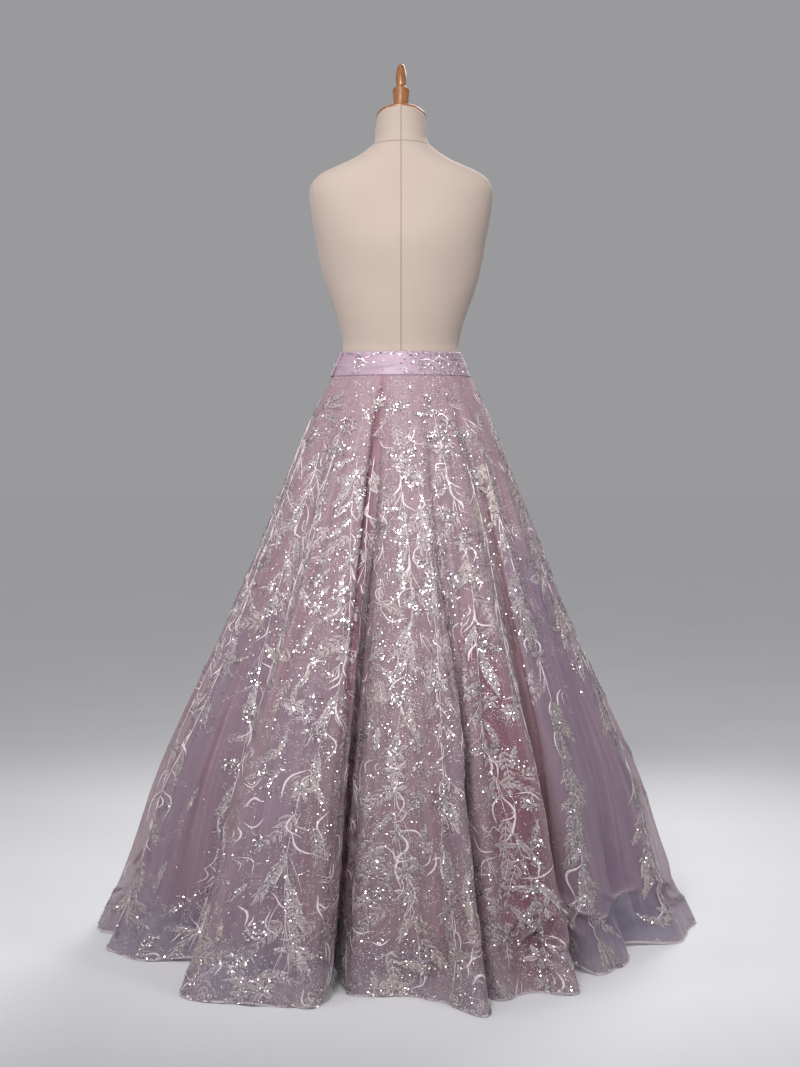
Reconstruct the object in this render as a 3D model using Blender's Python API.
"""Lehenga skirt with a fitted waistband, worn by a limbless dress form on a pole and a round base.

Metres, +Z up. The origin is on the floor under the pole. -Y is the skirt's back, +X is the right of
someone who looks at that back, and +Y is the skirt's front.
The embroidered net is twelve gores, called kalis, over a shorter lining of six gores. Both hang in
the same deep flutes, which are worked out from one outline of the hem on the floor.
"""

import math
from collections import namedtuple

import bpy
import numpy as np

# Driving sizes of the skirt
WAIST_TOP = 1.067  # floor to the waistband's upper edge
BAND_HEIGHT = 0.044
BAND_HALF_WIDTH = 0.1105  # of the waistband's outer face at its upper edge
WAIST_ROUNDNESS = 0.81  # depth over width of the body's waist
ROUND_BY = 0.6  # the share of the way down where the skirt is as deep as it is wide
BAND_WALL = 0.0024
BAND_OUT = 0.0008  # how far the band's lower edge stands off the skirt's upper edge
BAND_COLUMNS = 37  # of the mesh of half a band
BAND_ROWS = 4
NET_WALL = 0.0015
LINING_WALL = 0.0015
SEAM_GAP = 0.0003
MITRE_LIMIT = 0.5  # the least cosine of half a fold's angle by which its inner wall is mitred
LAP_LENGTH = 0.030  # how far the band's front end closes over its back end, at the left side
LAP_RISE_BEFORE = 12  # degrees before the back end where the front end starts to rise over it
LAP_RISE_OVER = 9  # degrees that it takes
KALIS = 12
SKIRT_TOP = WAIST_TOP - BAND_HEIGHT - SEAM_GAP

# The skirt's smooth outline without its flutes, from the waistband's lower edge to the floor
Level = namedtuple("Level", "drop half_width")
LEVELS = [
    Level(0.000, 0.1275),
    Level(0.063, 0.157),
    Level(0.253, 0.229),
    Level(0.460, 0.305),
    Level(0.750, 0.418),
    Level(0.900, 0.458),
    Level(1.023, 0.505),
]

# Each flute at the hem, going round to the right from the left side. left and right are its two
# corners and valley is the recess after it, as degrees from the middle of the back. The out columns
# are distances from the pole, belly is how far the cloth between the corners bows out, and lift is
# how far the hem stands off the floor in the recess. onset is the power of the depth by which the
# recess deepens on its way down, so a high one starts late. nip is how far the flute is drawn in
# above its stiffened hem, which then bells out.
Flute = namedtuple("Flute", "left left_out right right_out belly valley valley_out lift onset nip")
FLUTES = [
    Flute(-101, 0.555, -86, 0.550, 0.024, -79.5, 0.490, 0.004, 1.4, 0.002),
    Flute(-73, 0.545, -62, 0.520, 0.004, -51, 0.415, 0.010, 1.1, 0.003),
    Flute(-37, 0.595, -14.5, 0.548, 0.010, -17.5, 0.365, 0.022, 0.9, 0.002),
    Flute(-10, 0.468, 13, 0.600, -0.052, 15.5, 0.455, 0.006, 1.0, 0.002),
    Flute(18, 0.520, 32.5, 0.538, -0.030, 42.5, 0.420, 0.016, 0.9, 0.010),
    Flute(45, 0.474, 57, 0.470, 0.008, 70, 0.430, 0.006, 2.2, 0.013),
    Flute(76, 0.512, 94, 0.550, 0.006, 101, 0.455, 0.008, 1.2, 0.009),
    Flute(106, 0.545, 124, 0.575, 0.006, 130, 0.415, 0.012, 1.0, 0.003),
    Flute(136, 0.565, 153, 0.555, 0.010, 158, 0.420, 0.010, 1.5, 0.008),
    Flute(165, 0.585, 184, 0.565, -0.020, 187, 0.400, 0.018, 0.9, 0.003),
    Flute(193, 0.560, 207, 0.580, 0.012, 214, 0.425, 0.008, 1.3, 0.010),
    Flute(221, 0.575, 237, 0.548, 0.004, 241, 0.430, 0.012, 1.0, 0.003),
    Flute(246, 0.555, 253, 0.560, 0.004, 256, 0.475, 0.004, 1.6, 0.002),
]
CREST_ONSET = 1.2  # the power of the depth by which the corners stand out
SIDE_ONSET = 1.1  # the same for their shift to the side
NIP_HEIGHT = 0.078  # of the drawn-in line above the floor
NIP_SPREAD = 0.030
COLUMN_STEP = 0.040  # length of hem between two columns of the mesh
DENSE_STEPS = 40  # points between two nodes of the hem outline, before columns are chosen
EVEN_STEPS = 1024  # even shares of the hem at which its outline is kept
AZIMUTH_WAVES = 5  # slow waves kept when the flutes are smoothed out of the azimuth
SOFT_WAVES = 22  # waves kept in the soft flutes near the waist
SHARP_BY = 0.65  # the share of the way down where the flutes have their full corners
# Rows of the mesh, as shares of the way from the waistband to the floor
ROWS = [0.0, 0.05, 0.13, 0.25, 0.39, 0.53, 0.67, 0.80, 0.89, 0.925, 0.96, 1.0]
LINING_ROWS = [0.0, 0.05, 0.13, 0.25, 0.40, 0.56, 0.72, 0.84, 0.917]  # its hem hangs 85 mm high
LINING_COLUMNS = 16  # of a gore's mesh
LINING_SEAMS = [-93, -29, 25, 86, 148, 199]  # their azimuths, each on the crest of a flute
LINING_BINS = 720  # directions round the pole at which the lining is worked out
LINING_REACH = math.radians(3.2)  # half the width over which the lining bridges the net's flutes
LINING_MARGIN = 4  # bins more to both sides, about half a column of its mesh
LINING_GAP_TOP = 0.0004
LINING_GAP = 0.006
LINING_GAP_BY = 0.12  # the share of the way down where the gap is full
LINING_FREE_BY = 0.35  # the same where the lining hangs in flutes of its own

# The dress form, from the neck down: a row for each section
Section = namedtuple("Section", "height half_width half_depth middle_y squareness tilt")
BAND_FIT = 0.0005  # clearance between the body and the inside of the waistband's upper edge
BODY_WAIST = BAND_HALF_WIDTH - BAND_WALL - BAND_FIT
BODY_WAIST_DEPTH = BAND_HALF_WIDTH * WAIST_ROUNDNESS - BAND_WALL - BAND_FIT
NECK_TILT = math.radians(20)
SECTIONS = [
    Section(1.4955, 0.0440, 0.0450, 0.006, 2.0, NECK_TILT),
    Section(1.470, 0.0475, 0.0480, 0.004, 2.0, NECK_TILT * 0.6),
    Section(1.446, 0.0525, 0.0520, 0.001, 2.0, NECK_TILT * 0.3),
    Section(1.420, 0.0900, 0.0620, 0.000, 2.0, 0.0),
    Section(1.394, 0.1450, 0.0700, 0.000, 2.2, 0.0),
    Section(1.370, 0.1660, 0.0780, 0.002, 2.4, 0.0),
    Section(1.335, 0.1665, 0.0920, 0.008, 2.4, 0.0),
    Section(1.270, 0.1560, 0.1120, 0.016, 2.2, 0.0),
    Section(1.200, 0.1420, 0.1040, 0.010, 2.0, 0.0),
    Section(1.130, 0.1180, 0.0920, 0.002, 2.0, 0.0),
    Section(1.090, 0.1075, 0.0865, 0.000, 2.0, 0.0),
    Section(WAIST_TOP, BODY_WAIST, BODY_WAIST_DEPTH, 0.000, 2.0, 0.0),
    Section(1.020, 0.1160, 0.0930, 0.000, 2.0, 0.0),
    Section(0.940, 0.1430, 0.1060, -0.004, 2.1, 0.0),
    Section(0.860, 0.1620, 0.1150, -0.006, 2.1, 0.0),
    Section(0.800, 0.1640, 0.1140, -0.004, 2.1, 0.0),
]
BODY_SIDES = 40
BODY_STEPS = 2  # rings made between two sections
BODY_BOTTOM = SECTIONS[-1].height

# The stand and the turned finial
BASE_RADIUS = 0.170
BASE_RIM = 0.010
BASE_SLOPE = 0.004  # how much the base rises from its rim to the foot of its hub
BASE_HUB = 0.026
BASE_SIDES = 48
HUB_RADIUS = 0.034
HUB_FOOT = 0.020  # how much wider the hub is at its foot
POLE_RADIUS = 0.016
FLANGE_RADIUS = 0.045
FLANGE_THICK = 0.008
TURNED_SIDES = 24
EDGE_ROUND = 0.002  # of the turned plates
TOP_ROUND = 0.003
NECK_CAP_RADIUS = 0.0445
NECK_CAP_THICK = 0.007
Turn = namedtuple("Turn", "height radius")
FINIAL = [
    Turn(0.000, 0.0122),
    Turn(0.006, 0.0128),
    Turn(0.022, 0.0134),
    Turn(0.047, 0.0153),
    Turn(0.0515, 0.0146),
    Turn(0.0545, 0.0098),
    Turn(0.0575, 0.0079),
    Turn(0.064, 0.0090),
    Turn(0.076, 0.0099),
    Turn(0.088, 0.0086),
    Turn(0.099, 0.0066),
    Turn(0.1025, 0.0042),
    Turn(0.1043, 0.0016),
]


def clear_scene():
    for thing in list(bpy.data.objects):
        bpy.data.objects.remove(thing)


def material(name, colour, roughness, metallic=0.0):
    made = bpy.data.materials.new(name)
    made.use_nodes = True
    shader = made.node_tree.nodes["Principled BSDF"]
    shader.inputs["Base Color"].default_value = (*colour, 1.0)
    shader.inputs["Roughness"].default_value = roughness
    shader.inputs["Metallic"].default_value = metallic
    return made


def add_object(name, points, triangles, finish, smooth_below=35.0):
    """One closed mesh as a named object, its faces turned outwards, rounded where it bends little."""
    points = np.asarray(points, float)
    triangles = np.asarray(triangles, int)
    if np.linalg.det(points[triangles]).sum() < 0:
        triangles = triangles[:, ::-1]
    mesh = bpy.data.meshes.new(name)
    mesh.from_pydata(points.tolist(), [], triangles.tolist())
    mesh.materials.append(finish)
    mesh.shade_smooth()
    mesh.set_sharp_from_angle(angle=math.radians(smooth_below))
    made = bpy.data.objects.new(name, mesh)
    bpy.context.scene.collection.objects.link(made)
    return made


def on_floor(azimuth, out):
    """The point at an azimuth in degrees, counted from the back towards +X, that far from the pole."""
    turned = math.radians(azimuth)
    return out * math.sin(turned), -out * math.cos(turned)


def flute_nodes():
    """Rows of x, y, height, onset and nip: for each flute its left corner, belly, right corner, recess."""
    nodes = []
    for flute in FLUTES:
        left = np.array(on_floor(flute.left, flute.left_out))
        right = np.array(on_floor(flute.right, flute.right_out))
        middle = (left + right) / 2
        belly = middle * (1 + flute.belly / np.linalg.norm(middle))
        valley = on_floor(flute.valley, flute.valley_out)
        nodes += [(*place, 0.0, CREST_ONSET, flute.nip) for place in (left, belly, right)]
        nodes.append((*valley, flute.lift, flute.onset, 0.0))
    return np.array(nodes)


def along_and_across(points, azimuth):
    """Plan points split into a part along each azimuth and a part across it."""
    x, y = points[..., 0], points[..., 1]
    return x * np.sin(azimuth) - y * np.cos(azimuth), x * np.cos(azimuth) + y * np.sin(azimuth)


def closed_spline(nodes, steps):
    """A centripetal Catmull-Rom curve through the nodes and back to the first one."""
    before, here = np.roll(nodes, 1, 0), nodes
    after, beyond = np.roll(nodes, -1, 0), np.roll(nodes, -2, 0)
    knots = [np.zeros(len(nodes))]
    for start, end in ((before, here), (here, after), (after, beyond)):
        knots.append(knots[-1] + np.sqrt(np.linalg.norm((end - start)[:, :2], axis=1)))
    t0, t1, t2, t3 = (k[:, None, None] for k in knots)
    t = t1 + (t2 - t1) * (np.arange(steps) / steps)[None, :, None]
    p0, p1, p2, p3 = (p[:, None, :] for p in (before, here, after, beyond))
    a1 = ((t1 - t) * p0 + (t - t0) * p1) / (t1 - t0)
    a2 = ((t2 - t) * p1 + (t - t1) * p2) / (t2 - t1)
    a3 = ((t3 - t) * p2 + (t - t2) * p3) / (t3 - t2)
    b1 = ((t2 - t) * a1 + (t - t0) * a2) / (t2 - t0)
    b2 = ((t3 - t) * a2 + (t - t1) * a3) / (t3 - t1)
    return (((t2 - t) * b1 + (t - t1) * b2) / (t2 - t1)).reshape(-1, nodes.shape[1])


class Hem:
    """The hem's outline on the floor, by the share u of its length from the first flute's corner."""

    def __init__(self):
        line = closed_spline(flute_nodes(), DENSE_STEPS)
        line[:, 2] = np.maximum(line[:, 2], 0.0)
        line[:, 4] = np.maximum(line[:, 4], 0.0)
        shut = np.vstack([line, line[:1]])
        along = np.concatenate([[0], np.cumsum(np.linalg.norm(np.diff(shut[:, :2], axis=0), axis=1))])
        self.length = along[-1]
        self.u = along / along[-1]
        self.line = shut
        azimuth = np.unwrap(np.arctan2(shut[:, 0], -shut[:, 1]))
        even = np.arange(EVEN_STEPS) / EVEN_STEPS
        wander = np.interp(even, self.u, azimuth) - math.tau * even
        waves = np.fft.rfft(wander)
        waves[AZIMUTH_WAVES + 1 :] = 0
        self.even = np.append(even, 1.0)
        self.wander = np.append(np.fft.irfft(waves), np.fft.irfft(waves)[0])
        turned = self.azimuth(self.u)
        out, side = along_and_across(shut[:, :2], turned)
        out -= LEVELS[-1].half_width
        rows = [out, side, *shut[:, 2:].T]
        self.sharp = np.array([np.interp(self.even, self.u, row) for row in rows])
        fade = np.exp(-((np.arange(EVEN_STEPS // 2 + 1) / SOFT_WAVES) ** 2))
        soft = np.fft.irfft(np.fft.rfft(self.sharp[:2, :-1]) * fade)
        self.soft = np.column_stack([soft, soft[:, 0]])

    def flute(self, u):
        """How far the hem stands out and to the side at share u, its lift, onset and nip."""
        return [np.interp(u % 1, self.even, row) for row in self.sharp]

    def soft_flute(self, u):
        """The same distances out and to the side with their corners smoothed away."""
        return [np.interp(u % 1, self.even, row) for row in self.soft]

    def azimuth(self, u):
        """The azimuth without its flutes: the slow waves of the hem's own azimuth."""
        return math.tau * u + np.interp(u % 1, self.even, self.wander)

    def columns(self):
        """Places between 0 and 1 for the mesh's columns: every node, and even steps between them."""
        places = []
        nodes = self.u[::DENSE_STEPS]
        for start, end in zip(nodes[:-1], nodes[1:]):
            count = max(2, round((end - start) * self.length / COLUMN_STEP))
            places += list(start + (end - start) * np.arange(count) / count)
        return np.array(places)

    def seams(self):
        """Where the kalis meet: the columns nearest to even shares that are neither corner nor recess."""
        nodes = self.u[::DENSE_STEPS]
        places = np.array([p for p in self.columns() if np.abs(nodes - p).min() > 1e-6])
        even = (np.arange(KALIS) + 0.5) / KALIS
        first = [places[np.abs(places - share).argmin()] for share in even]
        return np.array([*first, first[0] + 1])


def smooth_levels(drop):
    """The half width at each drop, on one smooth curve through the rows of LEVELS."""
    drops = np.array([level.drop for level in LEVELS])
    widths = np.array([level.half_width for level in LEVELS])
    slopes = np.gradient(widths, drops)
    i = np.clip(np.searchsorted(drops, drop, side="right") - 1, 0, len(drops) - 2)
    span = drops[i + 1] - drops[i]
    s = (drop - drops[i]) / span
    return (
        (1 + 2 * s) * (1 - s) ** 2 * widths[i]
        + s * (1 - s) ** 2 * span * slopes[i]
        + s * s * (3 - 2 * s) * widths[i + 1]
        + s * s * (s - 1) * span * slopes[i + 1]
    )


def ease(x):
    x = np.clip(x, 0, 1)
    return x * x * (3 - 2 * x)


def cloth(hem, u, t):
    """Points of the fluted skirt at hem share u and way down t."""
    u, t = np.broadcast_arrays(np.asarray(u, float), np.asarray(t, float))
    azimuth = hem.azimuth(u)
    outwards = np.stack([np.sin(azimuth), -np.cos(azimuth)], -1)
    half_width = smooth_levels(t * SKIRT_TOP)
    roundness = WAIST_ROUNDNESS + (1 - WAIST_ROUNDNESS) * ease(t / ROUND_BY)
    ring = outwards * np.stack([half_width, half_width * roundness], -1)
    sharp_out, sharp_side, lift, onset, nip = hem.flute(u)
    soft_out, soft_side = hem.soft_flute(u)
    sharp = ease(t / SHARP_BY)
    height = SKIRT_TOP + (lift - SKIRT_TOP) * t
    drawn = nip * np.exp(-(((height - NIP_HEIGHT) / NIP_SPREAD) ** 2))
    out = (soft_out + (sharp_out - soft_out) * sharp) * t**onset - drawn
    side = (soft_side + (sharp_side - soft_side) * sharp) * t**SIDE_ONSET
    sideways = np.stack([np.cos(azimuth), np.sin(azimuth)], -1)
    plan = ring + outwards * out[..., None] + sideways * side[..., None]
    return np.concatenate([plan, height[..., None]], -1)


def lining(hem, azimuth, t):
    """Points of the lining at each azimuth and way down t.

    Every level starts from the net's outline round the pole. The lining takes the least distance
    within its reach and margin to both sides, and then the mean of those within its reach, so it
    bridges the flutes and still stays inside the net. Near the waist it follows the net itself.
    """
    dense = np.arange(4 * LINING_BINS) / (4 * LINING_BINS)
    span = round(LINING_REACH / math.tau * LINING_BINS)
    wider = span + LINING_MARGIN
    radius = np.empty_like(azimuth)
    for level in np.unique(t):
        net = cloth(hem, dense, level)
        round_pole = np.arctan2(net[:, 0], -net[:, 1]) % math.tau
        out = np.hypot(net[:, 0], net[:, 1])
        least = np.full(LINING_BINS, np.inf)
        np.minimum.at(least, (round_pole / math.tau * LINING_BINS).astype(int) % LINING_BINS, out)
        least = np.min([np.roll(least, shift) for shift in range(-wider, wider + 1)], 0)
        bridged = np.mean([np.roll(least, shift) for shift in range(-span, span + 1)], 0)
        order = np.argsort(round_pole)
        here = t == level
        close = np.interp(azimuth[here] % math.tau, round_pole[order], out[order], period=math.tau)
        place = (azimuth[here] / math.tau * LINING_BINS - 0.5) % LINING_BINS
        far = np.interp(place, np.arange(LINING_BINS + 1), np.append(bridged, bridged[0]))
        radius[here] = close + (far - close) * ease(level / LINING_FREE_BY)
    radius -= NET_WALL + LINING_GAP_TOP + LINING_GAP * ease(t / LINING_GAP_BY)
    return np.stack([radius * np.sin(azimuth), -radius * np.cos(azimuth), SKIRT_TOP * (1 - t)], -1)


def wall(outer, inner):
    """Points and triangles of a closed wall between two grids of points that match one to one."""
    columns, rows = outer.shape[:2]
    index = np.arange(columns * rows).reshape(columns, rows)
    a, b = index[:-1, :-1], index[1:, :-1]
    c, d = index[1:, 1:], index[:-1, 1:]
    skin = np.concatenate([np.stack([a, b, c], -1).reshape(-1, 3), np.stack([a, c, d], -1).reshape(-1, 3)])
    back = skin[:, ::-1] + columns * rows
    rim = np.concatenate([index[:, 0], index[-1, 1:], index[-2::-1, -1], index[0, -2:0:-1]])
    ahead = np.roll(rim, -1)
    far, far_ahead = rim + columns * rows, ahead + columns * rows
    edge = np.concatenate([np.stack([rim, far, far_ahead], -1), np.stack([rim, far_ahead, ahead], -1)])
    return np.concatenate([outer.reshape(-1, 3), inner.reshape(-1, 3)]), np.concatenate([skin, back, edge])


def unit(vectors):
    return vectors / np.linalg.norm(vectors, axis=-1, keepdims=True)


def gore(surface, across, rows, thickness):
    """One gore of a layer as a wall. across has one more place before the gore and one behind it."""
    grid = surface(*np.meshgrid(across, rows, indexing="ij"))
    down = np.gradient(grid, axis=1)
    before = unit(np.cross(down[1:-1], grid[1:-1] - grid[:-2]))
    behind = unit(np.cross(down[1:-1], grid[2:] - grid[1:-1]))
    normal = unit(before + behind)
    mitre = thickness / np.maximum((normal * before).sum(-1, keepdims=True), MITRE_LIMIT)
    outer = grid[1:-1]
    for edge, inwards in ((0, 1), (-1, -2)):
        outer[edge] += unit(outer[inwards] - outer[edge]) * SEAM_GAP / 2
    inner = outer - normal * mitre
    outer[:, :, 2] = np.maximum(outer[:, :, 2], 0)
    inner[:, -1, 2] = outer[:, -1, 2]
    inner[:, 0, 2] = outer[:, 0, 2] = SKIRT_TOP
    return wall(outer, inner)


def build_skirt(hem, net_finish, lining_finish):
    places = np.concatenate([hem.columns() - 1, hem.columns(), hem.columns() + 1])
    seams = [np.abs(places - seam).argmin() for seam in hem.seams()]
    for number, (first, last) in enumerate(zip(seams[:-1], seams[1:])):
        across = places[first - 1 : last + 2]
        parts = gore(lambda u, t: cloth(hem, u, t), across, ROWS, NET_WALL)
        add_object(f"net_kali_{number + 1:02d}", *parts, net_finish)
    edges = np.radians([*LINING_SEAMS, LINING_SEAMS[0] + 360])
    share = np.arange(LINING_COLUMNS) / LINING_COLUMNS
    turn = (edges[:-1, None] + np.diff(edges)[:, None] * share).ravel()
    places = np.concatenate([turn - math.tau, turn, turn + math.tau])
    for number in range(len(LINING_SEAMS)):
        first = len(turn) + number * LINING_COLUMNS
        across = places[first - 1 : first + LINING_COLUMNS + 2]
        parts = gore(lambda a, t: lining(hem, a, t), across, LINING_ROWS, LINING_WALL)
        add_object(f"lining_gore_{number + 1}", *parts, lining_finish)


def band_half(name, start, end, lap, finish):
    """Half of the waistband between two azimuths in degrees. lap is the way it runs on over the other half."""
    band_bottom = WAIST_TOP - BAND_HEIGHT
    lap_turn = math.degrees(lap / BAND_HALF_WIDTH)
    across, down = np.linspace(start, end + lap_turn, BAND_COLUMNS), np.linspace(0, 1, BAND_ROWS)
    azimuth, share = np.meshgrid(across, down, indexing="ij")
    raised = (BAND_WALL + SEAM_GAP) * ease((azimuth - end + LAP_RISE_BEFORE) / LAP_RISE_OVER) * (lap > 0)
    turned = np.radians(azimuth)
    height = WAIST_TOP + (band_bottom - WAIST_TOP) * share
    width = BAND_HALF_WIDTH + (LEVELS[0].half_width + BAND_OUT - BAND_HALF_WIDTH) * share
    outwards = np.stack([np.sin(turned), -np.cos(turned), np.zeros_like(turned)], -1)

    def face(depth):
        wide = (width - depth + raised) * np.sin(turned)
        deep = -(width * WAIST_ROUNDNESS - depth + raised) * np.cos(turned)
        return np.stack([wide, deep, height], -1)

    outer, inner = face(0), face(BAND_WALL)
    sideways = np.stack([outwards[..., 1], -outwards[..., 0], np.zeros_like(turned)], -1)
    for grid in (outer, inner):
        grid[0] -= sideways[0] * SEAM_GAP / 2
        grid[-1] += sideways[-1] * SEAM_GAP / 2
    add_object(name, *wall(outer, inner), finish)


def lathe(turns, sides=TURNED_SIDES):
    """A solid turned round the Z axis from rows of height and radius, closed by flat ends."""
    angle = math.tau * np.arange(sides) / sides
    rings = [np.stack([r * np.cos(angle), r * np.sin(angle), np.full(sides, h)], -1) for h, r in turns]
    return skinned(np.array(rings))


def skinned(rings):
    """Points and triangles of a solid through closed rings, with a fan over each end."""
    count, sides = rings.shape[:2]
    points = np.concatenate([rings.reshape(-1, 3), rings[:1].mean(1), rings[-1:].mean(1)])
    index = np.arange(count * sides).reshape(count, sides)
    a, b = index[:-1], np.roll(index, -1, 1)[:-1]
    c, d = np.roll(index, -1, 1)[1:], index[1:]
    first, last = index[0], index[-1]
    low_fan = np.stack([np.full(sides, count * sides), np.roll(first, -1), first], -1)
    high_fan = np.stack([np.full(sides, count * sides + 1), last, np.roll(last, -1)], -1)
    sheets = [np.stack([a, b, c], -1).reshape(-1, 3), np.stack([a, c, d], -1).reshape(-1, 3), low_fan, high_fan]
    return points, np.concatenate(sheets)


def body_rings():
    """The dress form's sections, with rings of a smooth curve between the rows of the table."""
    table = np.array(SECTIONS)
    before = np.vstack([2 * table[0] - table[1], table[:-1]])
    after = np.vstack([table[1:], 2 * table[-1] - table[-2]])
    slope = (after - before) / 2
    rows = []
    for i in range(len(table) - 1):
        for s in np.arange(BODY_STEPS) / BODY_STEPS:
            start, end = (1 + 2 * s) * (1 - s) ** 2, s * s * (3 - 2 * s)
            lead, trail = s * (1 - s) ** 2, s * s * (s - 1)
            rows.append(start * table[i] + end * table[i + 1] + lead * slope[i] + trail * slope[i + 1])
    return [Section(*row) for row in [*rows, table[-1]]]


def build_body(finish):
    angle = math.tau * np.arange(BODY_SIDES) / BODY_SIDES
    sine, cosine = np.sin(angle), np.cos(angle)
    rings = []
    for section in body_rings():
        power = 2 / section.squareness
        x = section.half_width * np.sign(sine) * np.abs(sine) ** power
        y = section.middle_y - section.half_depth * np.sign(cosine) * np.abs(cosine) ** power
        z = section.height - (y - section.middle_y) * math.tan(section.tilt)
        rings.append(np.stack([x, y, z], -1))
    add_object("dress_form", *skinned(np.array(rings)), finish)


def plate(radius, bottom, top):
    """Rows of height and radius for a turned plate with its edges rounded."""
    rounded = radius - EDGE_ROUND
    return [(bottom, rounded), (bottom + EDGE_ROUND, radius), (top - EDGE_ROUND, radius), (top, rounded)]


def build_neck(wood):
    """The wooden neck cap and its turned finial, both square to the sloping top of the neck."""
    top = SECTIONS[0]
    seats = {"neck_cap": SEAM_GAP, "finial": 2 * SEAM_GAP + NECK_CAP_THICK}
    cap = plate(NECK_CAP_RADIUS, 0, NECK_CAP_THICK)
    for name, turns in (("neck_cap", cap), ("finial", FINIAL)):
        made = add_object(name, *lathe(turns), wood)
        lean = np.array([0, math.sin(top.tilt), math.cos(top.tilt)])
        made.location = np.array([0, top.middle_y, top.height]) + lean * seats[name]
        made.rotation_euler = (-top.tilt, 0, 0)


def build_stand(metal):
    base = [*plate(BASE_RADIUS, 0, BASE_RIM), (BASE_RIM + BASE_SLOPE, HUB_RADIUS + HUB_FOOT)]
    base += [(BASE_HUB - TOP_ROUND, HUB_RADIUS), (BASE_HUB, HUB_RADIUS - TOP_ROUND)]
    add_object("stand_base", *lathe(base, BASE_SIDES), metal)
    pole_top = BODY_BOTTOM - FLANGE_THICK - 2 * SEAM_GAP
    add_object("stand_pole", *lathe([(BASE_HUB + SEAM_GAP, POLE_RADIUS), (pole_top, POLE_RADIUS)]), metal)
    flange_bottom = pole_top + SEAM_GAP
    add_object("stand_flange", *lathe(plate(FLANGE_RADIUS, flange_bottom, flange_bottom + FLANGE_THICK)), metal)


def build_all():
    clear_scene()
    net = material("embroidered_net", (0.60, 0.46, 0.57), 0.55)
    satin = material("lining_satin", (0.62, 0.36, 0.48), 0.40)
    band = material("waistband_satin", (0.66, 0.44, 0.58), 0.45)
    canvas = material("body_canvas", (0.70, 0.62, 0.54), 0.85)
    wood = material("turned_wood", (0.42, 0.18, 0.06), 0.30)
    metal = material("painted_steel", (0.55, 0.53, 0.50), 0.45)
    hem = Hem()
    build_skirt(hem, net, satin)
    band_half("waistband_back", -90, 90, 0, band)
    band_half("waistband_front", 90, 270, LAP_LENGTH, band)
    build_body(canvas)
    build_neck(wood)
    build_stand(metal)


build_all()
